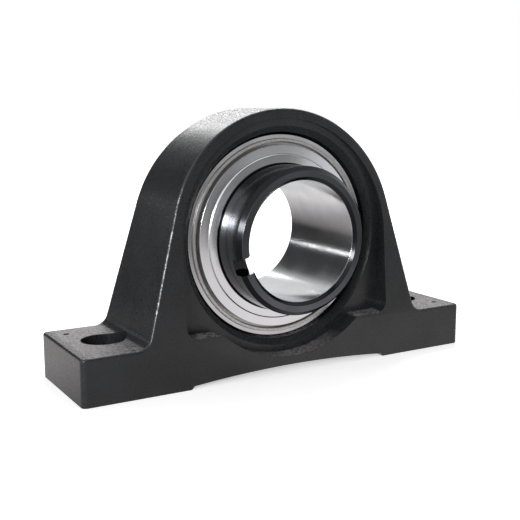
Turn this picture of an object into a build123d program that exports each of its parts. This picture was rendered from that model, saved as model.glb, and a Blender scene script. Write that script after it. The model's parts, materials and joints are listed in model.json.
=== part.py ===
"""Two-bolt pillow block with a self-aligning insert ball bearing.

Millimetres, +Z up.  The shaft runs along Y.  The origin is on the mounting surface, under the bearing centre
and midway between the two foot bolts.  The front of the bearing, where the drive slot is, faces -Y.
"""
from build123d import *
from math import cos, radians, sin, sqrt, tan
import os

# ---------------------------------------------------------------- driving dimensions
# Housing
centre_height = 79.4          # mounting surface to shaft axis
base_length = 260.0
base_width = 68.0
foot_height = 26.5
crown_radius = 75.0           # outside of the arch, about the shaft axis
flank_angle = 15.3            # how far the flanks lean out from vertical
flank_fillet = 8.0            # flank into foot
barrel_width = 45.0           # the part that carries the seat, face to face
crown_width = 45.6            # rims at the very top of the arch
rim_half_gap = 69.2           # recess half width, inside the rims
rim_corner = 7.0              # lower corners of the recess
dip_radius = 66.0             # recess dips round the bearing into the base bar
bar_height = 28.5             # top of the base bar inside the recess
corner_round = 3.0            # upright corners of the feet
edge_round = 1.5              # all other outside edges
flare_radius = 65.0           # each mouth opens out to this
flare_depth = 3.5
mouth_radius = 61.5           # bore between flare and spherical seat
seat_clearance = 0.03

# Feet
bolt_spacing = 210.0
bolt_slot_width = 23.0
bolt_slot_length = 26.0
arch_half_length = 67.0       # relief under the base, between the feet
arch_step = 1.9
arch_rise = 5.0
loading_slot_play = 0.6
dowel_mark_radius = 1.75
dowel_mark_depth = 1.5
dowel_mark_x = 119.5
dowel_mark_y = 21.5

# Insert bearing
bore_radius = 35.0
sphere_radius = 62.5
outer_ring_width = 34.0
inner_front = 44.5            # inner ring, bearing centre to front end
inner_rear = 25.5             # inner ring, bearing centre to rear end
inner_land_radius = 43.0
inner_end_chamfer = 2.5
bore_chamfer = 1.9
drive_slot_width = 9.5
drive_slot_depth = 8.0
drive_slot_angle = 16.5       # below horizontal, on the -X side

ball_count = 10
ball_radius = 17.4625 / 2
pitch_radius = 48.0
ball_clearance = 0.1          # ball to track, each side
track_radius = 0.52 * 2 * ball_radius
outer_land_radius = 53.9

# Seals: a steel washer seated in the outer ring, with a rubber lip on its inner edge
seal_seat_radius = 57.6       # counterbore in the outer ring's faces
seal_seat_depth = 2.4
washer_thickness = 0.8
washer_rim_radius = 55.6      # inside of the washer's solid rim
washer_rim_reach = 1.3        # rim stands this far out of the outer ring
washer_rim_round = 0.6
washer_inner_radius = 46.0
lip_clearance = 0.12          # lip to inner ring
lip_reach = 1.5               # lip's root, inward of the washer
lip_wrap = 0.35               # rubber each side of the washer

# Flingers: dished steel discs with a collar on the inner ring
flinger_thickness = 0.8
flinger_radius = 54.1
flinger_edge = 19.5           # front of its outer edge, from the bearing centre
flinger_dish = 0.5            # outer part leans forward this much on the way in
flinger_step_radius = 48.8
flinger_step_slope = 0.6      # radial length of the step
flinger_step = 20.6           # front of the step's inner end, from the bearing centre
flinger_front = 21.4          # front of the middle, which leans forward from the step
flinger_bend = 1.0            # middle into collar, outside radius
flinger_collar_length = 2.8

cage_inner_radius = 44.6
cage_outer_radius = 51.6
cage_thickness = 1.2
pocket_clearance = 0.2
rivet_radius = 1.3
rivet_head_radius = 2.2
rivet_head_height = 0.9

# Lubrication
groove_offset = 10.5          # groove in the outer ring, towards the rear
groove_width = 3.0
groove_depth = 1.0
oil_hole_radius = 1.25
port_angle = 45.0             # of the port from the top, towards +X
port_offset = 8.5
port_drill_radius = 3.0
port_face_radius = 8.0
port_face_depth = 2.0
port_thread_radius = 4.9
port_thread_depth = 8.0
plug_play = 0.05              # plug to port, all round
plug_sink = 0.3               # plug below the spot face
plug_chamfer = 0.5
plug_hex = 5.0
plug_hex_depth = 4.0

# ---------------------------------------------------------------- worked out
half_ring = outer_ring_width / 2
face_radius = sqrt(sphere_radius**2 - half_ring**2)
outer_track = pitch_radius + ball_radius + ball_clearance
inner_track = pitch_radius - ball_radius - ball_clearance
seat_radius = sphere_radius + seat_clearance
half_barrel = barrel_width / 2

bearing_centre = (0, 0, centre_height)
section = Plane(origin=bearing_centre, x_dir=(0, 1, 0), z_dir=(1, 0, 0))   # x along the shaft, y radial
shaft_axis = Axis(bearing_centre, (0, 1, 0))
front = Plane.XZ                                                          # x is X, y is Z, normal is -Y
rear = Plane(origin=(0, 0, 0), x_dir=(-1, 0, 0), z_dir=(0, 1, 0))         # y is Z, normal is +Y


def around_shaft(radius, angle, along=0.0):
    """A point at this radius from the shaft axis; angle 0 is +X and 90 is up."""
    return (radius * cos(radians(angle)), along, centre_height + radius * sin(radians(angle)))


def save(piece, node):
    """Label a finished piece and write it as its own STEP file."""
    piece.label = node
    export_step(piece, f"parts/{node}.step")


os.makedirs("parts", exist_ok=True)

# ---------------------------------------------------------------- housing
lean = radians(flank_angle)
tangent_x = crown_radius * cos(lean)
tangent_z = centre_height + crown_radius * sin(lean)
flank_foot_x = tangent_x + (tangent_z - foot_height) * tan(lean)
crown_top = centre_height + crown_radius

port_direction = Vector(sin(radians(port_angle)), 0, cos(radians(port_angle)))
port_mouth = Vector(0, port_offset, centre_height) + port_direction * (crown_radius - port_face_depth)
port_plane = Plane(origin=port_mouth, x_dir=(0, 1, 0), z_dir=port_direction)

with BuildPart() as housing:
    # Front outline: feet, flanks and crown
    with BuildSketch(front):
        with BuildLine():
            Polyline(
                (-tangent_x, tangent_z),
                (-flank_foot_x, foot_height),
                (-base_length / 2, foot_height),
                (-base_length / 2, 0),
                (base_length / 2, 0),
                (base_length / 2, foot_height),
                (flank_foot_x, foot_height),
                (tangent_x, tangent_z),
            )
            ThreePointArc((-tangent_x, tangent_z), (0, crown_top), (tangent_x, tangent_z))
        make_face()
    extrude(amount=base_width / 2, both=True)

    # Side outline: upright feet, then faces that lean in towards the crown
    with BuildSketch(Plane.YZ):
        with BuildLine():
            Polyline(
                (-base_width / 2, 0),
                (base_width / 2, 0),
                (base_width / 2, foot_height),
                (crown_width / 2, crown_top),
                (-crown_width / 2, crown_top),
                (-base_width / 2, foot_height),
                close=True,
            )
        make_face()
    extrude(amount=base_length, both=True, mode=Mode.INTERSECT)

    # Rounded casting edges
    fillet(housing.edges().filter_by(Axis.Z), corner_round)
    cross_lines = housing.edges().filter_by(Axis.Y)
    flank_roots = cross_lines.filter_by(lambda edge: abs(abs(edge.center().X) - flank_foot_x) < 0.1)
    fillet(flank_roots, flank_fillet)
    rims = housing.edges().filter_by(
        lambda edge: edge.center().Z > foot_height - 0.1
        and (abs(edge.center().Y) > 1 or abs(edge.center().X) > base_length / 2 - 1)
        and (abs(edge.center().X) > 1 or edge.center().Z > centre_height)
    )
    fillet(rims, edge_round)

    # Relief under the base: short slanted ends and a shallow arch, so that it stands on its two feet
    with BuildSketch(front):
        with BuildLine():
            Polyline(
                (-arch_half_length + arch_step, arch_step),
                (-arch_half_length, 0),
                (-arch_half_length, -1),
                (arch_half_length, -1),
                (arch_half_length, 0),
                (arch_half_length - arch_step, arch_step),
            )
            ThreePointArc(
                (-arch_half_length + arch_step, arch_step),
                (0, arch_rise),
                (arch_half_length - arch_step, arch_step),
            )
        make_face()
    extrude(amount=base_width, both=True, mode=Mode.SUBTRACT)

    # Recesses in the front and rear faces, down to the barrel
    for face in (front, rear):
        with BuildSketch(face.offset(half_barrel)) as recess:
            with Locations((0, centre_height)):
                Circle(rim_half_gap)
            with Locations((0, (centre_height + bar_height) / 2)):
                Rectangle(2 * rim_half_gap, centre_height - bar_height)
            lower_corners = recess.vertices().filter_by(lambda v: v.Y < bar_height + 0.1 and abs(v.X) > 1)
            fillet(lower_corners, rim_corner)
            with Locations((0, centre_height)):
                Circle(dip_radius)
        extrude(amount=base_width, mode=Mode.SUBTRACT)

    # Spherical seat, with a short bore and a flare at each mouth
    with BuildSketch(section):
        with BuildLine():
            Polyline(
                (-half_barrel, 0),
                (-half_barrel, flare_radius),
                (-half_barrel + flare_depth, mouth_radius),
                (half_barrel - flare_depth, mouth_radius),
                (half_barrel, flare_radius),
                (half_barrel, 0),
                close=True,
            )
        make_face()
    revolve(axis=shaft_axis, mode=Mode.SUBTRACT)
    with Locations(Location(bearing_centre, (90, 0, 0))):
        Sphere(seat_radius, mode=Mode.SUBTRACT)

    # Two loading slots at the rear, where the insert goes in turned through a right angle
    with BuildSketch(rear):
        with Locations((0, centre_height)):
            Circle(seat_radius)
            Rectangle(3 * seat_radius, outer_ring_width + loading_slot_play, mode=Mode.INTERSECT)
    extrude(amount=base_width, mode=Mode.SUBTRACT)

    # Bolt slots through the feet
    with BuildSketch(Plane.XY):
        with GridLocations(bolt_spacing, 1, 2, 1):
            SlotOverall(bolt_slot_length, bolt_slot_width)
    extrude(amount=base_width, mode=Mode.SUBTRACT)

    # Dowel marks, one on each foot, at opposite corners
    with BuildSketch(Plane.XY.offset(foot_height)):
        with Locations((-dowel_mark_x, dowel_mark_y), (dowel_mark_x, -dowel_mark_y)):
            Circle(dowel_mark_radius)
    extrude(amount=-dowel_mark_depth, mode=Mode.SUBTRACT)

    # Lubrication port: spot face, tapped hole and drilling into the seat
    with BuildSketch(port_plane):
        Circle(port_face_radius)
    extrude(amount=2 * port_face_depth, mode=Mode.SUBTRACT)
    with BuildSketch(port_plane):
        Circle(port_thread_radius)
    extrude(amount=-port_thread_depth, mode=Mode.SUBTRACT)
    with BuildSketch(port_plane):
        Circle(port_drill_radius)
    extrude(amount=-(crown_radius - sphere_radius), mode=Mode.SUBTRACT)

save(housing.part, "housing")

with BuildPart() as grease_plug:
    with BuildSketch(port_plane.offset(-plug_sink)):
        Circle(port_thread_radius - plug_play)
    extrude(amount=plug_sink + plug_play - port_thread_depth)
    chamfer(grease_plug.edges().filter_by(GeomType.CIRCLE), plug_chamfer)
    with BuildSketch(port_plane.offset(-plug_sink)):
        RegularPolygon(plug_hex / 2, 6, major_radius=False)
    extrude(amount=-plug_hex_depth, mode=Mode.SUBTRACT)

save(grease_plug.part, "grease_plug")

# ---------------------------------------------------------------- rings
outer_track_edge = sqrt(track_radius**2 - (outer_land_radius - outer_track + track_radius) ** 2)
inner_track_edge = sqrt(track_radius**2 - (inner_land_radius - inner_track - track_radius) ** 2)
seal_step = half_ring - seal_seat_depth

with BuildPart() as outer_ring:
    with BuildSketch(section):
        with BuildLine():
            Polyline(
                (-half_ring, face_radius),
                (-half_ring, seal_seat_radius),
                (-seal_step, seal_seat_radius),
                (-seal_step, outer_land_radius),
                (-outer_track_edge, outer_land_radius),
            )
            ThreePointArc(
                (-outer_track_edge, outer_land_radius),
                (0, outer_track),
                (outer_track_edge, outer_land_radius),
            )
            Polyline(
                (outer_track_edge, outer_land_radius),
                (seal_step, outer_land_radius),
                (seal_step, seal_seat_radius),
                (half_ring, seal_seat_radius),
                (half_ring, face_radius),
            )
            ThreePointArc((half_ring, face_radius), (0, sphere_radius), (-half_ring, face_radius))
        make_face()
    revolve(axis=shaft_axis)

    # Grease groove round the outside, with two holes into the space beside the balls
    groove_floor = sqrt(sphere_radius**2 - groove_offset**2) - groove_depth
    with BuildSketch(section):
        with Locations((groove_offset, groove_floor)):
            Rectangle(groove_width, sphere_radius, align=(Align.CENTER, Align.MIN))
    revolve(axis=shaft_axis, mode=Mode.SUBTRACT)
    with Locations((0, groove_offset, centre_height)):
        Cylinder(oil_hole_radius, 3 * sphere_radius, mode=Mode.SUBTRACT)

save(outer_ring.part, "outer_ring")

with BuildPart() as inner_ring:
    with BuildSketch(section):
        with BuildLine():
            Polyline(
                (inner_track_edge, inner_land_radius),
                (inner_rear - inner_end_chamfer, inner_land_radius),
                (inner_rear, inner_land_radius - inner_end_chamfer),
                (inner_rear, bore_radius + bore_chamfer),
                (inner_rear - bore_chamfer, bore_radius),
                (-inner_front + bore_chamfer, bore_radius),
                (-inner_front, bore_radius + bore_chamfer),
                (-inner_front, inner_land_radius - inner_end_chamfer),
                (-inner_front + inner_end_chamfer, inner_land_radius),
                (-inner_track_edge, inner_land_radius),
            )
            ThreePointArc(
                (-inner_track_edge, inner_land_radius),
                (0, inner_track),
                (inner_track_edge, inner_land_radius),
            )
        make_face()
    revolve(axis=shaft_axis)

    # Drive slot through the wall at the front end
    with Locations(Location((0, -inner_front, centre_height), (0, -drive_slot_angle, 0))):
        Box(
            2 * inner_land_radius,
            2 * drive_slot_depth,
            drive_slot_width,
            align=(Align.MAX, Align.CENTER, Align.CENTER),
            mode=Mode.SUBTRACT,
        )

save(inner_ring.part, "inner_ring")

# ---------------------------------------------------------------- seals and flingers, front and rear
rim_face = half_ring + washer_rim_reach
washer_face = seal_step + washer_thickness
lip_root = washer_inner_radius - lip_reach
lip_tip = inner_land_radius + lip_clearance

collar_radius = inner_land_radius + flinger_thickness
collar_end = flinger_front - flinger_collar_length
dish_front = flinger_edge + flinger_dish
step_inside = flinger_step_radius - flinger_step_slope

for end, side in (("front", -1), ("rear", 1)):
    with BuildPart() as seal_washer:
        with BuildSketch(section):
            with BuildLine():
                Polyline(
                    (side * rim_face, seal_seat_radius),
                    (side * rim_face, washer_rim_radius),
                    (side * washer_face, washer_rim_radius),
                    (side * washer_face, washer_inner_radius),
                    (side * seal_step, washer_inner_radius),
                    (side * seal_step, seal_seat_radius),
                    close=True,
                )
            make_face()
        revolve(axis=shaft_axis)
        rim_edges = seal_washer.edges().filter_by(lambda edge: abs(abs(edge.center().Y) - rim_face) < 0.1)
        fillet(rim_edges, washer_rim_round)

    with BuildPart() as seal_lip:
        with BuildSketch(section):
            with BuildLine():
                Polyline(
                    (side * (washer_face + lip_wrap), washer_inner_radius),
                    (side * (washer_face + lip_wrap), lip_root),
                    (side * washer_face, lip_tip),
                    (side * (seal_step + lip_wrap), lip_tip),
                    (side * (seal_step - lip_wrap), lip_root),
                    (side * (seal_step - lip_wrap), washer_inner_radius),
                    close=True,
                )
            make_face()
        revolve(axis=shaft_axis)

    with BuildPart() as flinger:
        with BuildSketch(section):
            with BuildLine():
                Polyline(
                    (side * (flinger_edge - flinger_thickness), flinger_radius),
                    (side * flinger_edge, flinger_radius),
                    (side * dish_front, flinger_step_radius),
                    (side * flinger_step, step_inside),
                    (side * flinger_front, inner_land_radius),
                    (side * collar_end, inner_land_radius),
                    (side * collar_end, collar_radius),
                    (side * (flinger_front - flinger_thickness), collar_radius),
                    (side * (flinger_step - flinger_thickness), step_inside),
                    (side * (dish_front - flinger_thickness), flinger_step_radius),
                    close=True,
                )
            make_face()
        revolve(axis=shaft_axis)
        bend = flinger.edges().filter_by(lambda edge: abs(abs(edge.center().Y) - flinger_front) < 0.1)
        fillet(bend, flinger_bend)

    save(seal_washer.part, f"seal_washer_{end}")
    save(seal_lip.part, f"seal_lip_{end}")
    save(flinger.part, f"flinger_{end}")

# ---------------------------------------------------------------- balls and cage
ball_angles = [90 + 360 / ball_count * number for number in range(ball_count)]
pocket_radius = ball_radius + pocket_clearance

for number, angle in enumerate(ball_angles, start=1):
    with BuildPart() as ball:
        with Locations(around_shaft(pitch_radius, angle)):
            Sphere(ball_radius)
    save(ball.part, f"ball_{number:02}")

rivet_angles = [angle + 180 / ball_count for angle in ball_angles]
ball_places = [around_shaft(pitch_radius, angle) for angle in ball_angles]
rivet_places = [Location(around_shaft(pitch_radius, angle), (90, 0, 0)) for angle in rivet_angles]

for end, side in (("front", -1), ("rear", 1)):
    with BuildPart() as cage:
        # Flat band between the balls, with a cup round each ball
        with Locations(Location(bearing_centre, (90, 0, 0))):
            Cylinder(cage_outer_radius, 2 * cage_thickness)
        with Locations(*ball_places):
            Sphere(pocket_radius + cage_thickness)
        # Trimmed to the band's width and to its own half
        with BuildSketch(section):
            with Locations((side * pocket_radius, (cage_inner_radius + cage_outer_radius) / 2)):
                Rectangle(2 * pocket_radius, cage_outer_radius - cage_inner_radius)
        revolve(axis=shaft_axis, mode=Mode.INTERSECT)
        with Locations(*ball_places):
            Sphere(pocket_radius, mode=Mode.SUBTRACT)
        with Locations(*rivet_places):
            Cylinder(rivet_radius, 4 * cage_thickness, mode=Mode.SUBTRACT)
    save(cage.part, f"cage_{end}")

with BuildPart() as cage_rivets:
    with Locations(*rivet_places):
        Cylinder(rivet_radius, 2 * cage_thickness)
        for face_height in (-cage_thickness - rivet_head_height, cage_thickness):
            with Locations((0, 0, face_height)):
                Cylinder(rivet_head_radius, rivet_head_height, align=(Align.CENTER, Align.CENTER, Align.MIN))

save(cage_rivets.part, "cage_rivets")
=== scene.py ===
"""Dresses a pillow block bearing: turned rings, flingers, seals, painted iron and a studio."""
import json
import math

import bpy
import numpy as np
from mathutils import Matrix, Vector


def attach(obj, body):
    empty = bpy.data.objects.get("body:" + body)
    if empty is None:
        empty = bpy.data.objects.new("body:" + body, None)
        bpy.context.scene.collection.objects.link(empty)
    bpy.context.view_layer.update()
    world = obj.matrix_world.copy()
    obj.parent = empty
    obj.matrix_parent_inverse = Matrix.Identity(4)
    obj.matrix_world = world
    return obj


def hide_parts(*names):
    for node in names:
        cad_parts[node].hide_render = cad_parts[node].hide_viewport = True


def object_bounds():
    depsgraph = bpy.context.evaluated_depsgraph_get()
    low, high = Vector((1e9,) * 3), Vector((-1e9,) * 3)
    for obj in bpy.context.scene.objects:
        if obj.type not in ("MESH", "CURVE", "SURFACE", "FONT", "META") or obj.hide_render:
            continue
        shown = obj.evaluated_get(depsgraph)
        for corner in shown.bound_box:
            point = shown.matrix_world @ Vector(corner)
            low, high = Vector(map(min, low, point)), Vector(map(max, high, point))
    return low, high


bl_info = {
    "name": "Pillow block bearing",
    "version": (1, 0, 0),
    "blender": (4, 5, 0),
    "location": "3D View > Sidebar > Pillow Block",
    "description": "Rings, flingers, seals, painted iron and a studio for a pillow block bearing",
    "category": "Object",
}

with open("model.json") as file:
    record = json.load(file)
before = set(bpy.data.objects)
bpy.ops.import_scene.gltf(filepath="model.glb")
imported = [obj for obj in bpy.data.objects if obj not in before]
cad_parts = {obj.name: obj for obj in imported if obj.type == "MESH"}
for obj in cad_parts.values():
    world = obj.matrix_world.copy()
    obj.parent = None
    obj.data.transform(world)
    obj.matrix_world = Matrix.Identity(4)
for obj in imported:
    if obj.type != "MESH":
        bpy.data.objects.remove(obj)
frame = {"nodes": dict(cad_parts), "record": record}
cad_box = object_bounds()

MM = 0.001
FOOT_END = cad_box[1][0]  # the right side of the box
ENDS = {"front": -1.0, "rear": 1.0}  # which way along Y each end faces
COLUMNS = 240  # points round a turned ring
SHAFT = next(mount for mount in frame["record"]["mounts"] if mount["name"] == "shaft_bore")

# The tracks are a little wider than the balls. The blend that makes a track's arc, and the one that
# makes the outer ring's sphere, stop short of the full radius to leave room for the edges' blends.
BALL_DIAMETER = 17.4625 * MM
TRACK_RADIUS = 0.52 * BALL_DIAMETER
TRACK_BLEND = 0.93 * TRACK_RADIUS
SPHERE_BLEND_SHARE = 0.97

# Numbers of the inner ring's finishes, in the order in which they are added to it
GROUND, SKIN, CHAMFER, FACE = range(4)

WHITE = (1.0, 1.0, 1.0, 1.0)
BLACK = (0.0, 0.0, 0.0, 1.0)

# The studio, in metres. All lamps are aimed at the shaft.
AIM = (0.0, 0.0, 0.08)
LAMPS = (
    # name, place, width and height, the setting that holds its power
    ("top_softbox", (0.38, 0.55, 0.93), (0.62, 0.60), "top"),
    ("back_softbox", (0.42, 1.05, 0.55), (0.62, 0.52), "back"),
    ("window", (-0.82, -0.68, 0.34), (0.40, 0.18), "window"),
    ("strip", (-0.58, 0.85, 0.28), (0.08, 0.05), "strip"),
)
CARDS = (
    # name, corner at its lowest X, width and height, tone, and the tone a fading card ends at
    ("front_paper", (-1.10, -1.15, 0.00), (1.26, 0.50), 0.60),
    ("front_gap", (0.16, -1.15, 0.00), (0.34, 0.25), 0.20),
    ("front_flag", (0.50, -1.15, 0.00), (0.45, 0.25), 0.60),
    ("front_shelf", (0.16, -1.15, 0.25), (0.79, 0.25), 0.22),
    ("front_wall", (-0.50, -1.15, 0.50), (2.25, 1.70), 0.10),
    ("front_right_card", (0.95, -1.15, 0.00), (0.80, 0.50), 0.75),
    ("rear_flag", (-1.60, 0.90, 0.04), (1.50, 0.76), 0.06),
    ("rear_fade", (-0.10, 0.90, 0.04), (0.20, 0.76), 0.06, 0.90),
    ("bore_paper", (0.03, 0.10, 0.03), (0.11, 0.12), 0.90),
)
FLOOR_REACH = 6.0
CAMERA_PLACE = (-0.2716, -0.4543, 0.1548)
CAMERA_DOWN = 9.91  # degrees below the horizontal
CAMERA_RIGHT = 30.59  # degrees to the right of +Y
LENS, SENSOR = 60.51, 36.0  # millimetres


# ---------------------------------------------------------------- kinds of property
def length(name, description, default):
    """A property for a size, in metres."""
    return bpy.props.FloatProperty(
        name=name, description=description, default=default, unit="LENGTH", precision=5
    )


def turn(name, description, default):
    """A property for an angle, in radians."""
    return bpy.props.FloatProperty(
        name=name, description=description, default=default, subtype="ANGLE"
    )


def colour(name, description, default):
    """A property for a colour."""
    return bpy.props.FloatVectorProperty(
        name=name, description=description, default=default, size=3, min=0.0, max=1.0,
        subtype="COLOR",
    )


def share(name, description, default):
    """A property for a number from 0 to 1."""
    return bpy.props.FloatProperty(
        name=name, description=description, default=default, min=0.0, max=1.0, subtype="FACTOR"
    )


def power(name, description, default):
    """A property for a lamp's power."""
    return bpy.props.FloatProperty(
        name=name, description=description, default=default, min=0.0, unit="POWER"
    )


# ---------------------------------------------------------------- sizes and colours
class PillowRingSizes(bpy.types.PropertyGroup):
    """Sizes of the two rings"""

    shaft_height: length("Shaft height", "Mounting surface to shaft axis", SHAFT["pos_m"][2])
    bore_radius: length("Bore radius", "Inside of the inner ring", SHAFT["dims"]["r_mm"] * MM)
    sphere_radius: length("Sphere radius", "Spherical outside of the outer ring", 62.5 * MM)
    seat_play: length("Seat play", "Keeps the sphere off the flat facets of its seat", 0.13 * MM)
    ring_width: length("Outer ring width", "Face to face", 34.0 * MM)
    outer_track: length("Outer track depth", "Ball track in the outer ring", 2.93 * MM)
    inner_track: length("Inner track depth", "Ball track in the inner ring", 3.83 * MM)
    outer_land: length("Outer land", "Inside radius of the outer ring beside its track", 53.9 * MM)
    seat_radius: length("Seal seat radius", "Counterbore for the seal", 57.6 * MM)
    seat_depth: length("Seal seat depth", "Depth of that counterbore", 2.4 * MM)
    land: length("Inner land", "Outside radius of the inner ring", 43.0 * MM)
    front_end: length("Front end", "Bearing centre to the inner ring's front end", 44.5 * MM)
    rear_end: length("Rear end", "Bearing centre to the inner ring's rear end", 25.5 * MM)
    end_chamfer: length("End chamfer", "Outside chamfer of the inner ring's ends", 2.5 * MM)
    bore_chamfer: length("Bore chamfer", "Chamfer at the ends of the bore", 1.9 * MM)
    slot_width: length("Drive slot width", "Across the slot", 9.5 * MM)
    slot_depth: length("Drive slot depth", "From the front end", 8.0 * MM)
    slot_angle: turn("Drive slot angle", "Round from +X to the slot", math.radians(196.5))


class PillowSealSizes(bpy.types.PropertyGroup):
    """Sizes of the seals and flingers"""

    sheet: length("Sheet thickness", "Of washers and flingers", 0.8 * MM)
    washer_play: length("Washer play", "Washer to its seat", 0.02 * MM)
    rim_inside: length("Rim inside radius", "Inside of the washer's rim", 55.6 * MM)
    rim_reach: length("Rim reach", "How far the rim stands out of the outer ring", 1.3 * MM)
    washer_inside: length("Washer inside radius", "Where the lip is bonded", 46.0 * MM)
    lip_clearance: length("Lip clearance", "Lip to inner ring", 0.12 * MM)
    lip_reach: length("Lip reach", "Root of the lip, inward of the washer", 1.5 * MM)
    lip_wrap: length("Lip wrap", "Rubber on each side of the washer", 0.35 * MM)
    flinger_play: length("Flinger play", "Collar to inner ring", 0.01 * MM)
    flinger_radius: length("Flinger radius", "Outside of the flinger", 54.1 * MM)
    flinger_edge: length("Flinger edge", "Bearing centre to the front of its edge", 19.5 * MM)
    flinger_dish: length("Flinger dish", "How far the outer part leans forward", 0.5 * MM)
    step_radius: length("Step radius", "Foot of the flinger's step", 48.8 * MM)
    step_slope: length("Step slope", "How far the step goes inward as it rises", 0.6 * MM)
    step_front: length("Step front", "Bearing centre to the front of the step", 20.6 * MM)
    flinger_front: length("Flinger front", "Bearing centre to the front of its middle", 21.4 * MM)
    collar_length: length("Collar length", "Along the inner ring", 2.8 * MM)


class PillowFinishes(bpy.types.PropertyGroup):
    """Colours and the paint's roughness"""

    iron: colour("Paint", "Black paint on the cast iron", (0.0125, 0.0135, 0.0148))
    iron_gloss: share("Paint roughness", "Roughness of the paint", 0.30)
    # Flat, upward faces: partly real grey grains, partly a painted sheen of the light from above
    grit_and_sheen_tint: colour("Grit", "Bare grit on the feet and crown", (0.27, 0.255, 0.26))
    # A painted highlight on the rim's rounded edge, drawn as bare iron in scuffed paint
    glint_colour: colour("Worn edge", "Bright iron where the rim's edge is rubbed", (0.55, 0.55, 0.56))
    steel: colour("Ring steel", "Ground bearing steel", (0.60, 0.61, 0.63))
    scale: colour("Hardened steel", "Dark skin outside the inner ring", (0.050, 0.053, 0.058))
    zinc: colour("Sheet steel", "Bright zinc on flingers and cage", (0.80, 0.82, 0.85))
    washer: colour("Washer", "Duller sheet of the seal washers", (0.60, 0.585, 0.57))
    rubber: colour("Rubber", "Seal lips", (0.012, 0.012, 0.013))
    plug: colour("Plug", "Blackened steel plug", (0.10, 0.10, 0.11))


class PillowStudio(bpy.types.PropertyGroup):
    """The floor's colour, the lamps' powers and the light all round"""

    floor: colour("Floor", "Pale floor", (0.90, 0.90, 0.90))
    top: power("Top softbox", "Power of the softbox above", 7.0)
    back: power("Back softbox", "Power of the softbox above and behind", 4.0)
    window: power("Window", "Power of the small softbox at the front left", 7.0)
    strip: power("Strip", "Power of the small lamp behind on the left", 0.08)
    ambient: share("Ambient", "Strength of the surroundings on the object", 0.45)


# ---------------------------------------------------------------- meshes
def build_mesh(name, points, faces, corner_normals, finishes=None):
    """An object whose mesh has these points, quads and one normal for each face corner.

    finishes, where given, holds the number of each face's material.
    """
    mesh = bpy.data.meshes.new(name)
    mesh.from_pydata(points.tolist(), [], faces.tolist())
    if finishes is not None:
        mesh.polygons.foreach_set("material_index", finishes.astype(np.int32))
    mesh.normals_split_custom_set(corner_normals.reshape(-1, 3).tolist())
    mesh.update()
    piece = bpy.data.objects.new(name, mesh)
    bpy.context.scene.collection.objects.link(piece)
    return piece


def rounded_loop(outline, steps):
    """A closed outline with rounded corners, as points and outward normals.

    The outline is an array with a row (along, out, blend radius) for each corner, anticlockwise. At
    a corner P it turns from one side's outward normal n1 to the next side's, n2. The arc of radius
    b is centred on P - s b (n1 + n2) / (1 + n1.n2), where s is 1 on an outside corner and -1 on an
    inside one, and its points are centre + s b n, with n turning from n1 to n2.
    """
    corners, blends = outline[:, :2], outline[:, 2]
    ahead = np.roll(corners, -1, axis=0) - corners
    ahead /= np.linalg.norm(ahead, axis=1, keepdims=True)
    after = np.stack([ahead[:, 1], -ahead[:, 0]], axis=1)
    before = np.roll(after, 1, axis=0)
    cosine = np.sum(before * after, axis=1)
    sine = before[:, 0] * after[:, 1] - before[:, 1] * after[:, 0]
    bend = np.arctan2(sine, cosine)
    angle = bend[:, None] * np.linspace(0.0, 1.0, steps)
    normals = np.stack(
        [
            np.cos(angle) * before[:, :1] - np.sin(angle) * before[:, 1:],
            np.sin(angle) * before[:, :1] + np.cos(angle) * before[:, 1:],
        ],
        axis=2,
    )
    signed = (np.sign(bend) * blends)[:, None]
    centres = corners - signed * (before + after) / (1.0 + cosine)[:, None]
    points = centres[:, None] + signed[:, None] * normals
    return points.reshape(-1, 2), normals.reshape(-1, 2)


def turned(points, angles, height):
    """Turns (along, out) pairs round the shaft.

    At angle a, a point is at x = out cos a, y = along and z = height + out sin a.
    """
    along, out = points[:, 0], points[:, 1]
    x, z = out * np.cos(angles), height + out * np.sin(angles)
    return np.stack([x, np.broadcast_to(along, angles.shape), z], axis=-1)


def ring_quads(columns, rows):
    """Faces of a grid that closes on itself both ways, as four indices for each column and row."""
    i, j = np.meshgrid(np.arange(columns), np.arange(rows), indexing="ij")
    i_next, j_next = (i + 1) % columns, (j + 1) % rows
    return np.stack(
        [i * rows + j, i_next * rows + j, i_next * rows + j_next, i * rows + j_next], axis=-1
    )


def lathe(name, outline, height, steps=6):
    """A ring: the rounded outline turned once round the shaft axis."""
    loop, normals = rounded_loop(outline, steps)
    column_angles = np.linspace(0, 2 * np.pi, COLUMNS, endpoint=False)
    angles = np.broadcast_to(column_angles[:, None], (COLUMNS, len(loop)))
    points = turned(loop, angles, height).reshape(-1, 3)
    directions = turned(normals, angles, 0.0).reshape(-1, 3)
    quads = ring_quads(COLUMNS, len(loop)).reshape(-1, 4)
    return build_mesh(name, points, quads, directions[quads])


def outline_at(end, rows):
    """An outline for this end: the rear's as given, the front's mirrored, still anticlockwise."""
    outline = np.array(rows)
    return outline if ENDS[end] > 0 else outline[::-1] * (-1.0, 1.0, 1.0)


def track(depth):
    """Half width of a ball track this deep, and how deep the tangents at its edges meet.

    The arc's centre is m = radius - depth above the land, so the half width is
    sqrt(radius^2 - m^2) and the tangents meet radius^2 / m - m below the land.
    """
    middle = TRACK_RADIUS - depth
    return math.sqrt(TRACK_RADIUS**2 - middle**2), TRACK_RADIUS**2 / middle - middle


def finish_piece(piece, body, material, replaced):
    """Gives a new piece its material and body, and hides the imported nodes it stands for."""
    piece.data.materials.append(material)
    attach(piece, body)
    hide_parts(*replaced)


def refinish(node, material):
    """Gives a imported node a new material."""
    node.data.materials.clear()
    node.data.materials.append(material)


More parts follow.
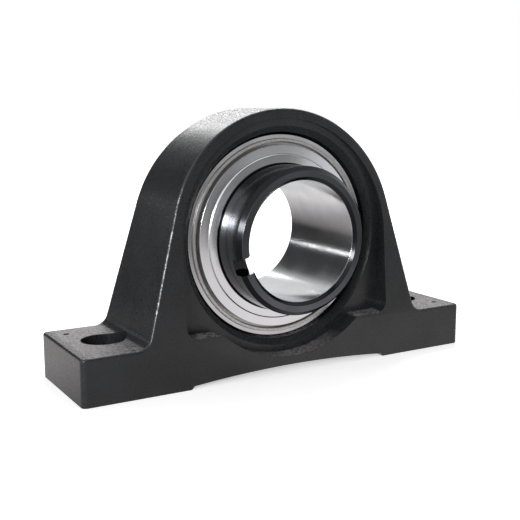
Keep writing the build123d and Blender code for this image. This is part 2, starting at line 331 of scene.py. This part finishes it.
# ---------------------------------------------------------------- materials
class Nodes:
    """A node tree, written one node to a line."""

    def __init__(self, tree):
        self.tree = tree

    def node(self, kind, links=None, **settings):
        """Adds a node; links holds a value or another node's output for its inputs."""
        made = self.tree.nodes.new(kind)
        for key, value in settings.items():
            setattr(made, key, value)
        for key, value in (links or {}).items():
            self.feed(made.inputs[key], value)
        return made

    def feed(self, socket, value):
        """Sets an input to a value, or links an output to it."""
        if isinstance(value, bpy.types.NodeSocket):
            self.tree.links.new(value, socket)
        else:
            socket.default_value = value

    def place(self, centre=(0.0, 0.0, 0.0)):
        """Object coordinates, moved so that centre is at the origin."""
        where = self.node("ShaderNodeTexCoord").outputs["Object"]
        moved = self.node("ShaderNodeVectorMath", {0: where, 1: centre}, operation="SUBTRACT")
        return moved.outputs[0]

    def axes(self, vector):
        """The X, Y and Z of a vector."""
        return self.node("ShaderNodeSeparateXYZ", {"Vector": vector}).outputs

    def noise(self, where, scale, detail, roughness=0.5):
        """Fractal noise, with scale in cells per metre."""
        return self.node(
            "ShaderNodeTexNoise",
            {"Vector": where, "Scale": scale, "Detail": detail, "Roughness": roughness},
        ).outputs["Fac"]

    def steps(self, value, low, high, out_low=0.0, out_high=1.0):
        """Maps value from low..high to out_low..out_high, held at both ends."""
        return self.node(
            "ShaderNodeMapRange",
            {"Value": value, "From Min": low, "From Max": high,
             "To Min": out_low, "To Max": out_high},
        ).outputs["Result"]

    def mix(self, share_of_second, first, second):
        """Mixes two colours."""
        return self.node(
            "ShaderNodeMix", {0: share_of_second, 6: first, 7: second}, data_type="RGBA"
        ).outputs[2]

    def blend(self, share_of_second, first, second):
        """Mixes two numbers."""
        return self.node("ShaderNodeMix", {0: share_of_second, 2: first, 3: second}).outputs[0]

    def maths(self, operation, first, second=0.0):
        """One Math node."""
        return self.node("ShaderNodeMath", {0: first, 1: second}, operation=operation).outputs[0]

    def product(self, first, *others):
        """Multiplies numbers."""
        for other in others:
            first = self.maths("MULTIPLY", first, other)
        return first

    def bump(self, height, strength, distance, after=None):
        """A bump of this height, on top of an earlier one."""
        links = {"Height": height, "Strength": strength, "Distance": distance}
        if after is not None:
            links["Normal"] = after
        return self.node("ShaderNodeBump", links).outputs["Normal"]


class Shader(Nodes):
    """A material with one Principled surface."""

    def __init__(self, name):
        self.material = bpy.data.materials.new(name)
        self.material.use_nodes = True
        super().__init__(self.material.node_tree)
        self.surface = self.tree.nodes["Principled BSDF"]

    def set(self, **values):
        """Sets the surface's inputs, named in lower case with underscores."""
        for key, value in values.items():
            title = key.replace("_", " ").title().replace("Ior", "IOR")
            self.feed(self.surface.inputs[title], value)
        return self.material


def rgba(values):
    """A colour with full alpha."""
    return (*values, 1.0)


def shade(values, factor):
    """A colour made darker or lighter by a factor."""
    return [channel * factor for channel in values]


def painted_iron(name, finishes):
    """Black paint over sand-cast iron.

    The skin is pebbled and faintly mottled. Faces that lie flat are lighter and carry grey grains,
    partly real and partly a painted sheen of the light from above, except along the rounded ends
    of the feet. On the rounding between the front rim and the left flank, above the foot, bright
    specks are a painted highlight, drawn as scuffed paint.
    """
    paint = Shader(name)
    where = paint.place()
    pebbles = paint.noise(where, 700.0, 3.0)
    grains = paint.noise(where, 620.0, 4.0, 0.7)
    specks = paint.noise(where, 520.0, 4.0, 0.75)
    swell = paint.noise(where, 45.0, 2.0)
    mottle = paint.noise(where, 35.0, 4.0, 0.6)
    place = paint.axes(where)
    facing = paint.axes(paint.node("ShaderNodeNewGeometry").outputs["Normal"])

    clouds = paint.steps(mottle, 0.35, 0.7)
    base = paint.mix(clouds, rgba(finishes.iron), rgba(shade(finishes.iron, 1.5)))
    # Upward faces are lighter with grey grains: partly real grains, partly a painted sheen of the
    # light from above
    lying = paint.steps(facing["Z"], 0.86, 0.995)
    along = paint.maths("ABSOLUTE", place["X"])
    inboard = paint.steps(along, FOOT_END - 5.5 * MM, FOOT_END - 3.5 * MM, 1.0, 0.0)
    grit_and_sheen = paint.product(paint.steps(grains, 0.40, 0.56), lying, inboard)
    tint = paint.mix(grit_and_sheen, base, rgba(finishes.grit_and_sheen_tint))

    # Bright specks on the rim's rounded edge, on the left above the foot: a painted highlight of
    # the light from the left, drawn as scuffed paint
    midway = -0.70  # the normal's Y halfway round the rim's rounded edge
    slant = paint.maths("ABSOLUTE", paint.maths("SUBTRACT", facing["Y"], midway))
    rounded = paint.steps(slant, 0.05, 0.25, 1.0, 0.0)
    left = paint.steps(place["X"], -66 * MM, -72 * MM)
    above_foot = paint.steps(place["Z"], 40 * MM, 45 * MM)
    upright = paint.steps(facing["Z"], 0.45, 0.35)
    glint_specks = paint.steps(specks, 0.49, 0.58)
    glinting = paint.product(rounded, glint_specks, left, above_foot, upright)
    tint = paint.mix(glinting, tint, rgba(finishes.glint_colour))

    normal = paint.bump(swell, 0.25, 0.8 * MM)
    normal = paint.bump(pebbles, 0.20, 0.3 * MM, normal)
    normal = paint.bump(grains, paint.steps(lying, 0.0, 1.0, 0.05, 1.0), 1.5 * MM, normal)
    smooth, dull = finishes.iron_gloss - 0.06, finishes.iron_gloss + 0.08
    gloss = paint.steps(pebbles, 0.3, 0.7, smooth, dull)
    rough = paint.maths("ADD", gloss, paint.product(grit_and_sheen, 0.3))
    return paint.set(base_color=tint, roughness=rough, normal=normal)


def ground_steel(name, base, height, roughness, lines):
    """Ground or turned steel: fine rings round the shaft axis and a slight cloudiness."""
    steel = Shader(name)
    where = steel.place(centre=(0.0, 0.0, height))
    waves = [
        steel.node(
            "ShaderNodeTexWave",
            {"Vector": where, "Scale": lines, "Distortion": 0.2, "Detail": 1.0,
             "Detail Scale": 1.5},
            wave_type=kind,
            **{way: "Y"},
        ).outputs["Fac"]
        for kind, way in (("RINGS", "rings_direction"), ("BANDS", "bands_direction"))
    ]
    cloud = steel.noise(where, 70.0, 3.0)
    tint = steel.mix(steel.steps(cloud, 0.3, 0.7), rgba(base), rgba(shade(base, 0.88)))
    normal = steel.bump(steel.maths("ADD", *waves), 0.06, 0.05 * MM)
    rough = steel.steps(cloud, 0.3, 0.7, roughness * 0.8, roughness * 1.25)
    return steel.set(base_color=tint, metallic=1.0, roughness=rough, normal=normal)


def pressed_sheet(name, base, roughness):
    """Bright zinc on pressed sheet: smooth, with soft clouds and a faint fine grain."""
    sheet = Shader(name)
    where = sheet.place()
    cloud = sheet.noise(where, 25.0, 2.0)
    grain = sheet.noise(where, 1500.0, 2.0)
    tint = sheet.mix(sheet.steps(cloud, 0.35, 0.65), rgba(base), rgba(shade(base, 0.93)))
    normal = sheet.bump(grain, 0.05, 0.02 * MM)
    rough = sheet.steps(cloud, 0.3, 0.7, roughness * 0.9, roughness * 1.1)
    return sheet.set(base_color=tint, metallic=1.0, roughness=rough, normal=normal)


def plain_material(name, base, metallic, roughness, grain):
    """A plain finish with a fine grain in its tone and surface."""
    made = Shader(name)
    texture = made.noise(made.place(), grain, 3.0)
    tint = made.mix(made.steps(texture, 0.3, 0.7), rgba(base), rgba(shade(base, 0.75)))
    normal = made.bump(texture, 0.15, 0.2 * MM)
    rough = made.steps(texture, 0.3, 0.7, roughness * 0.85, roughness * 1.2)
    return made.set(base_color=tint, metallic=metallic, roughness=rough, normal=normal)


def material_of(context, key):
    """A finish by its key, made on first use."""
    finishes, height = context.scene.pillow_finishes, context.scene.pillow_rings.shaft_height
    # Chamfers take the skin's colour at half its tone, and the end faces at 2.6 times it
    dark, light = shade(finishes.scale, 0.5), shade(finishes.scale, 2.6)
    name, maker, *values = {
        # key: the material's name, what makes it, and the values that it takes after its name
        "iron": ("painted_iron", painted_iron, finishes),
        "ring": ("ground_steel", ground_steel, finishes.steel, height, 0.16, 900.0),
        "scale": ("hardened_steel", ground_steel, finishes.scale, height, 0.10, 700.0),
        "chamfer": ("turned_chamfer", ground_steel, dark, height, 0.16, 700.0),
        "face": ("turned_face", ground_steel, light, height, 0.2, 700.0),
        "ball": ("ball_steel", ground_steel, finishes.steel, height, 0.08, 50.0),
        "zinc": ("zinc_sheet", pressed_sheet, finishes.zinc, 0.19),
        "washer": ("washer_sheet", plain_material, finishes.washer, 0.75, 0.32, 900.0),
        "cage": ("cage_steel", plain_material, finishes.zinc, 1.0, 0.4, 300.0),
        "rubber": ("seal_rubber", plain_material, finishes.rubber, 0.0, 0.6, 800.0),
        "plug": ("black_steel", plain_material, finishes.plug, 1.0, 0.4, 400.0),
    }[key]
    return bpy.data.materials.get(name) or maker(name, *values)


# ---------------------------------------------------------------- operators
class PILLOW_OT_housing(bpy.types.Operator):
    """Paints the cast housing and blackens its plug"""

    bl_idname = "pillow.housing"
    bl_label = "Housing"

    def execute(self, context):
        refinish(frame["nodes"]["housing"], material_of(context, "iron"))
        refinish(frame["nodes"]["grease_plug"], material_of(context, "plug"))
        return {"FINISHED"}


class PILLOW_OT_balls_and_cage(bpy.types.Operator):
    """Finishes the balls, the two ribbon halves of the cage and their rivets"""

    bl_idname = "pillow.balls_and_cage"
    bl_label = "Balls and cage"

    def execute(self, context):
        for name, node in frame["nodes"].items():
            key = name.split("_")[0]
            if key in ("ball", "cage"):
                refinish(node, material_of(context, key))
        return {"FINISHED"}


class PILLOW_OT_outer_ring(bpy.types.Operator):
    """Turns the outer ring, spherical outside, with its ball track and seal seats"""

    bl_idname = "pillow.outer_ring"
    bl_label = "Outer ring"

    def execute(self, context):
        sizes = context.scene.pillow_rings
        half, land, seat = sizes.ring_width / 2, sizes.outer_land, sizes.seat_radius
        step = half - sizes.seat_depth
        sphere = sizes.sphere_radius - sizes.seat_play
        face = math.sqrt(sphere**2 - half**2)
        reach, deep = track(sizes.outer_track)
        blend, crisp = 0.3 * MM, 0.15 * MM
        outline = np.array([
            (-half, face, blend),
            (-half, seat, crisp),
            (-step, seat, blend),
            (-step, land, blend),
            (-reach, land, blend),
            (0.0, land + deep, TRACK_BLEND),
            (reach, land, blend),
            (step, land, blend),
            (step, seat, blend),
            (half, seat, blend),
            (half, face, blend),
            (0.0, sphere**2 / face, SPHERE_BLEND_SHARE * sphere),
        ])
        ring = lathe("outer_ring_turned", outline, sizes.shaft_height, steps=9)
        finish_piece(ring, "insert", material_of(context, "ring"), ["outer_ring"])
        return {"FINISHED"}


class PILLOW_OT_inner_ring(bpy.types.Operator):
    """Turns the extended inner ring and cuts the drive slot through its front end"""

    bl_idname = "pillow.inner_ring"
    bl_label = "Inner ring"

    steps = 6  # points round each corner of the outline
    slot_lines = 9  # columns of the grid from one wall of the slot to the other
    plain_lines = 232  # columns round the rest of the ring

    def execute(self, context):
        ring = self.slotted_ring(context.scene.pillow_rings)
        finish_piece(ring, "inner", material_of(context, "ring"), ["inner_ring"])
        for key in ("scale", "chamfer", "face"):
            ring.data.materials.append(material_of(context, key))
        return {"FINISHED"}

    def outline(self, sizes):
        """The outline, and the finish of each corner's arc and the side after it.

        Two corners lie at the slot's floor, a hair off the straight line, so that they have an arc.
        """
        end, rear, land, bore = -sizes.front_end, sizes.rear_end, sizes.land, sizes.bore_radius
        out, inn = sizes.end_chamfer, sizes.bore_chamfer
        floor = end + sizes.slot_depth
        reach, deep = track(sizes.inner_track)
        small, soft = 0.12 * MM, 0.35 * MM
        hair = 0.0001 * MM
        rows = np.array([
            (rear, bore + inn, soft, FACE),
            (rear, land - out, soft, CHAMFER),
            (rear - out, land, soft, SKIN),
            (reach, land, soft, GROUND),
            (0.0, land - deep, TRACK_BLEND, GROUND),
            (-reach, land, soft, SKIN),
            (floor, land + hair, small, SKIN),
            (end + out, land, soft, CHAMFER),
            (end, land - out, soft, FACE),
            (end, bore + inn, soft, CHAMFER),
            (end + inn, bore, soft, GROUND),
            (floor, bore - hair, small, GROUND),
            (rear - inn, bore, soft, CHAMFER),
        ])
        floor_corners = np.flatnonzero(rows[:, 0] == floor)
        return rows[:, :3], rows[:, 3], floor_corners

    def column_angles(self, sizes, out):
        """The angle of each grid point, with the slot's own columns first.

        Column t of the slot, t from -1 to 1, is at the slot's angle + t asin(half width / out), so
        the slot's walls are flat and parallel. The other columns share what is left of the turn.
        """
        edge = np.arcsin(sizes.slot_width / 2 / out)[None, :]
        across = np.linspace(-1.0, 1.0, self.slot_lines)[:, None]
        onward = np.linspace(0.0, 1.0, self.plain_lines + 2)[1:-1, None]
        in_slot = sizes.slot_angle + across * edge
        round_ring = sizes.slot_angle + edge + onward * (2 * np.pi - 2 * edge)
        return np.concatenate([in_slot, round_ring])

    def slot_faces(self, sizes, first, last, rows):
        """The slot's floor and its two walls, as quads and their corner normals.

        The floor joins row first to row last across the slot's columns. Each wall is a ladder in
        one column: its rungs join the rows on from first to the rows back from last.
        """
        line = np.arange(self.slot_lines - 1)
        floor = np.stack(
            [line * rows + first, (line + 1) * rows + first,
             (line + 1) * rows + last, line * rows + last],
            axis=1,
        )
        rungs = (last - first) // 2
        low, high = first + np.arange(rungs), last - np.arange(rungs)
        wall = np.stack([low, low + 1, high - 1, high], axis=1)
        walls = [wall[:, ::-1], wall + (self.slot_lines - 1) * rows]
        forward = np.array([0.0, -1.0, 0.0])
        across = np.array([-math.sin(sizes.slot_angle), 0.0, math.cos(sizes.slot_angle)])
        normals = [
            np.broadcast_to(normal, (count, 4, 3))
            for normal, count in ((forward, len(floor)), (across, rungs), (-across, rungs))
        ]
        return np.concatenate([floor, *walls]), np.concatenate(normals)

    def slotted_ring(self, sizes):
        """The outline turned round the shaft, with columns gathered to the slot's edges.

        In the slot, the faces of the front part are left out, and a floor and two walls close it.
        """
        outline, finish_of_side, floor_corners = self.outline(sizes)
        loop, normals = rounded_loop(outline, self.steps)
        angles = self.column_angles(sizes, loop[:, 1])
        columns, rows = angles.shape
        points = turned(loop, angles, sizes.shaft_height).reshape(-1, 3)
        directions = turned(normals, angles, 0.0).reshape(-1, 3)

        # The slot's rows, from the middle of one floor corner's arc to the middle of the other's.
        # They are an odd number apart, or the last quad of each wall would have no area.
        first, last = floor_corners * self.steps + self.steps // 2
        last -= 1
        keep = np.ones((columns, rows), dtype=bool)
        keep[: self.slot_lines - 1, first:last] = False
        skin = ring_quads(columns, rows)[keep]
        slot, slot_normals = self.slot_faces(sizes, first, last, rows)
        finish_of_row = np.repeat(finish_of_side, self.steps)
        skin_finishes = np.broadcast_to(finish_of_row, (columns, rows))[keep]
        return build_mesh(
            "inner_ring_turned",
            points,
            np.concatenate([skin, slot]),
            np.concatenate([directions[skin], slot_normals]),
            np.concatenate([skin_finishes, np.full(len(slot), SKIN)]),
        )


class PILLOW_OT_seals(bpy.types.Operator):
    """Makes the seal washers with their standing rims, and the rubber lips bonded to them"""

    bl_idname = "pillow.seals"
    bl_label = "Seals"

    def execute(self, context):
        rings, sizes = context.scene.pillow_rings, context.scene.pillow_seals
        half = rings.ring_width / 2
        back = half - rings.seat_depth
        front, rim = back + sizes.sheet, half + sizes.rim_reach
        seat, inside = rings.seat_radius - sizes.washer_play, sizes.rim_inside
        hole, lip_root = sizes.washer_inside, sizes.washer_inside - sizes.lip_reach
        lip_in = rings.land + sizes.lip_clearance
        wrap_front, wrap_back = front + sizes.lip_wrap, back - sizes.lip_wrap
        crisp, soft = 0.1 * MM, 0.12 * MM
        washer = [
            (rim, seat, 0.35 * MM),
            (back, seat, crisp),
            (back, hole, crisp),
            (front, hole, crisp),
            (front, inside, 0.3 * MM),
            (rim, inside, 0.5 * MM),
        ]
        lip = [
            (wrap_front, hole, soft),
            (wrap_back, hole, soft),
            (wrap_back, lip_root, soft),
            (back + sizes.lip_wrap, lip_in, soft),
            (front, lip_in, soft),
            (wrap_front, lip_root, soft),
        ]
        height = rings.shaft_height
        for end in ENDS:
            piece = lathe(f"seal_washer_{end}_pressed", outline_at(end, washer), height)
            material = material_of(context, "washer")
            finish_piece(piece, "insert", material, [f"seal_washer_{end}"])
            piece = lathe(f"seal_lip_{end}_moulded", outline_at(end, lip), height)
            material = material_of(context, "rubber")
            finish_piece(piece, "insert", material, [f"seal_lip_{end}"])
        return {"FINISHED"}


class PILLOW_OT_flingers(bpy.types.Operator):
    """Presses the dished flingers, with a rolled edge, a step and a collar on the inner ring"""

    bl_idname = "pillow.flingers"
    bl_label = "Flingers"

    def execute(self, context):
        rings, sizes = context.scene.pillow_rings, context.scene.pillow_seals
        sheet, land = sizes.sheet, rings.land + sizes.flinger_play
        edge, dish = sizes.flinger_edge, sizes.flinger_edge + sizes.flinger_dish
        step, front = sizes.step_front, sizes.flinger_front
        radius, foot = sizes.flinger_radius, sizes.step_radius
        inside = foot - sizes.step_slope
        collar = front - sizes.collar_length
        outline = [
            (edge, radius, 0.35 * MM),
            (edge - sheet, radius, 0.3 * MM),
            (dish - sheet, foot, 0.6 * MM),
            (step - sheet, inside, 0.6 * MM),
            (front - sheet, land + sheet, 0.2 * MM),
            (collar, land + sheet, 0.2 * MM),
            (collar, land, 0.2 * MM),
            (front, land, 1.0 * MM),
            (step, inside, 0.8 * MM),
            (dish, foot, 0.8 * MM),
        ]
        for end in ENDS:
            piece = lathe(f"flinger_{end}_pressed", outline_at(end, outline), rings.shaft_height)
            material = material_of(context, "zinc")
            finish_piece(piece, "inner", material, [f"flinger_{end}"])
        return {"FINISHED"}


class PILLOW_OT_stage(bpy.types.Operator):
    """Sets the floor, the lights, the surroundings and the camera"""

    bl_idname = "pillow.stage"
    bl_label = "Stage"

    def execute(self, context):
        studio = context.scene.pillow_studio
        self.floor(studio)
        self.surroundings(context.scene, studio)
        for name, place, size, setting in LAMPS:
            self.lamp(name, place, size, getattr(studio, setting))
        for card in CARDS:
            self.card(*card)
        self.camera(context.scene)
        context.scene.view_settings.view_transform = "Standard"
        return {"FINISHED"}

    def floor(self, studio):
        """A floor that looks white but for the part's shadow; to reflections it is black and glows
        with painted tones.

        A reflection sees a tone that changes with the distance from the part and with the bearing,
        x over |y|: one set of wedges in front of the part and one behind it.
        """
        side = 2 * FLOOR_REACH
        corner = (-FLOOR_REACH, -FLOOR_REACH, 0.0)
        floor = self.sheet("floor", corner, (side, 0.0, 0.0), (0.0, side, 0.0))
        ground = Shader("floor")
        ground.set(roughness=0.9, specular_ior_level=0.0)
        rays = ground.node("ShaderNodeLightPath").outputs
        where = ground.place()
        away = ground.node("ShaderNodeVectorMath", {0: where}, operation="LENGTH").outputs["Value"]
        axes = ground.axes(where)
        depth = ground.maths("MAXIMUM", ground.maths("ABSOLUTE", axes["Y"]), MM)
        bearing = ground.maths("DIVIDE", axes["X"], depth)

        # Painted reflections: the glow that reflections see in the floor, set by distance and
        # bearing
        middle_front = ground.steps(away, 0.22, 0.90, 0.85, 0.45)
        right_front = ground.steps(away, 0.20, 0.50, 0.85, 0.22)
        front = ground.blend(ground.steps(bearing, -0.5, -0.1), 0.5, middle_front)
        front = ground.blend(ground.steps(bearing, 0.12, 0.25), front, right_front)
        middle_rear = ground.steps(away, 0.16, 0.50, 0.45, 0.04)
        rear = ground.blend(ground.steps(bearing, -0.4, 0.2), middle_rear, 1.15)
        rear = ground.blend(ground.steps(bearing, -1.1, -0.8), 1.0, rear)
        reflected = ground.blend(ground.steps(axes["Y"], -0.02, 0.06), front, rear)

        clear = ground.maths("MAXIMUM", rays["Is Camera Ray"], rays["Is Transmission Ray"])
        seen = ground.product(ground.steps(away, 0.2, 0.9, 0.50, 1.0), clear)
        in_gloss = rays["Is Glossy Ray"]
        ground.set(
            base_color=ground.mix(in_gloss, rgba(studio.floor), BLACK),
            emission_color=ground.mix(in_gloss, WHITE, (1.0, 0.955, 0.945, 1.0)),
            emission_strength=ground.blend(in_gloss, seen, reflected),
        )
        floor.data.materials.append(ground.material)

    def sheet(self, name, corner, first, second):
        """A flat stage sheet: corner + u first + v second, with u and v from 0 to 1."""
        u, v = np.meshgrid((0.0, 1.0), (0.0, 1.0), indexing="ij")
        points = np.array(corner) + np.multiply.outer(u, first) + np.multiply.outer(v, second)
        mesh = bpy.data.meshes.new(name)
        mesh.from_pydata(points.reshape(-1, 3).tolist(), [], [(0, 2, 3, 1)])
        sheet = bpy.data.objects.new(name, mesh)
        bpy.context.scene.collection.objects.link(sheet)
        return sheet

    def card(self, name, corner, size, tone, last_tone=None):
        """An upright card that only reflections see, in one tone or fading along X to another."""
        width, height = size
        card = self.sheet(name, corner, (0.0, 0.0, height), (width, 0.0, 0.0))
        paper = Shader(name)
        if last_tone is not None:
            along = paper.axes(paper.place())["X"]
            tone = paper.steps(along, corner[0], corner[0] + width, tone, last_tone)
        paper.set(
            base_color=BLACK, specular_ior_level=0.0, emission_color=WHITE, emission_strength=tone
        )
        card.data.materials.append(paper.material)
        card.visible_camera = card.visible_diffuse = card.visible_shadow = False

    def surroundings(self, scene, studio):
        """White all round to the eye and in reflections, and dimmer as light on the part."""
        world = bpy.data.worlds.new("studio")
        world.use_nodes = True
        scene.world = world
        sky = Nodes(world.node_tree)
        rays = sky.node("ShaderNodeLightPath").outputs
        seen = sky.maths("MAXIMUM", rays["Is Camera Ray"], rays["Is Glossy Ray"])
        clear = sky.maths("MAXIMUM", seen, rays["Is Transmission Ray"])
        background = world.node_tree.nodes["Background"].inputs
        sky.feed(background["Color"], WHITE)
        sky.feed(background["Strength"], sky.steps(clear, 0.0, 1.0, studio.ambient, 1.0))

    def lamp(self, name, place, size, watts):
        """A rectangular area lamp, aimed at the shaft."""
        lamp = bpy.data.lights.new(name, "AREA")
        lamp.shape = "RECTANGLE"
        lamp.size, lamp.size_y = size
        lamp.energy = watts
        holder = bpy.data.objects.new(name, lamp)
        bpy.context.scene.collection.objects.link(holder)
        holder.location = place
        x, y, z = np.subtract(AIM, place)
        holder.rotation_euler = (math.atan2(math.hypot(x, y), -z), 0.0, math.atan2(-x, y))

    def camera(self, scene):
        """A camera at the front left, looking a little down."""
        data = bpy.data.cameras.new("camera")
        data.sensor_width, data.lens = SENSOR, LENS
        camera = bpy.data.objects.new("camera", data)
        scene.collection.objects.link(camera)
        camera.location = CAMERA_PLACE
        camera.rotation_euler = (math.radians(90 - CAMERA_DOWN), 0.0, math.radians(-CAMERA_RIGHT))
        scene.camera = camera


class PILLOW_PT_panel(bpy.types.Panel):
    """Lists the pieces in the order they are made"""

    bl_idname = "PILLOW_PT_panel"
    bl_label = "Pillow block bearing"
    bl_space_type = "VIEW_3D"
    bl_region_type = "UI"
    bl_category = "Pillow Block"

    def draw(self, context):
        for operator in OPERATORS:
            self.layout.operator(operator.bl_idname)
        for name, settings in SETTINGS.items():
            box = self.layout.box()
            for key in settings.__annotations__:
                box.prop(getattr(context.scene, name), key)


OPERATORS = (
    PILLOW_OT_housing,
    PILLOW_OT_balls_and_cage,
    PILLOW_OT_outer_ring,
    PILLOW_OT_inner_ring,
    PILLOW_OT_seals,
    PILLOW_OT_flingers,
    PILLOW_OT_stage,
)
SETTINGS = {
    "pillow_rings": PillowRingSizes,
    "pillow_seals": PillowSealSizes,
    "pillow_finishes": PillowFinishes,
    "pillow_studio": PillowStudio,
}


def register():
    """Registers the settings, puts them on the scene and registers the operators and the panel."""
    for group in SETTINGS.values():
        bpy.utils.register_class(group)
    for name, group in SETTINGS.items():
        setattr(bpy.types.Scene, name, bpy.props.PointerProperty(type=group))
    for operator in (*OPERATORS, PILLOW_PT_panel):
        bpy.utils.register_class(operator)


def unregister():
    """Undoes what register did."""
    for operator in (PILLOW_PT_panel, *reversed(OPERATORS)):
        bpy.utils.unregister_class(operator)
    for name, group in SETTINGS.items():
        delattr(bpy.types.Scene, name)
        bpy.utils.unregister_class(group)


def main():
    """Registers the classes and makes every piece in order."""
    register()
    for operator in OPERATORS:
        group, name = operator.bl_idname.split(".")
        getattr(getattr(bpy.ops, group), name)()


if __name__ == "__main__":
    main()
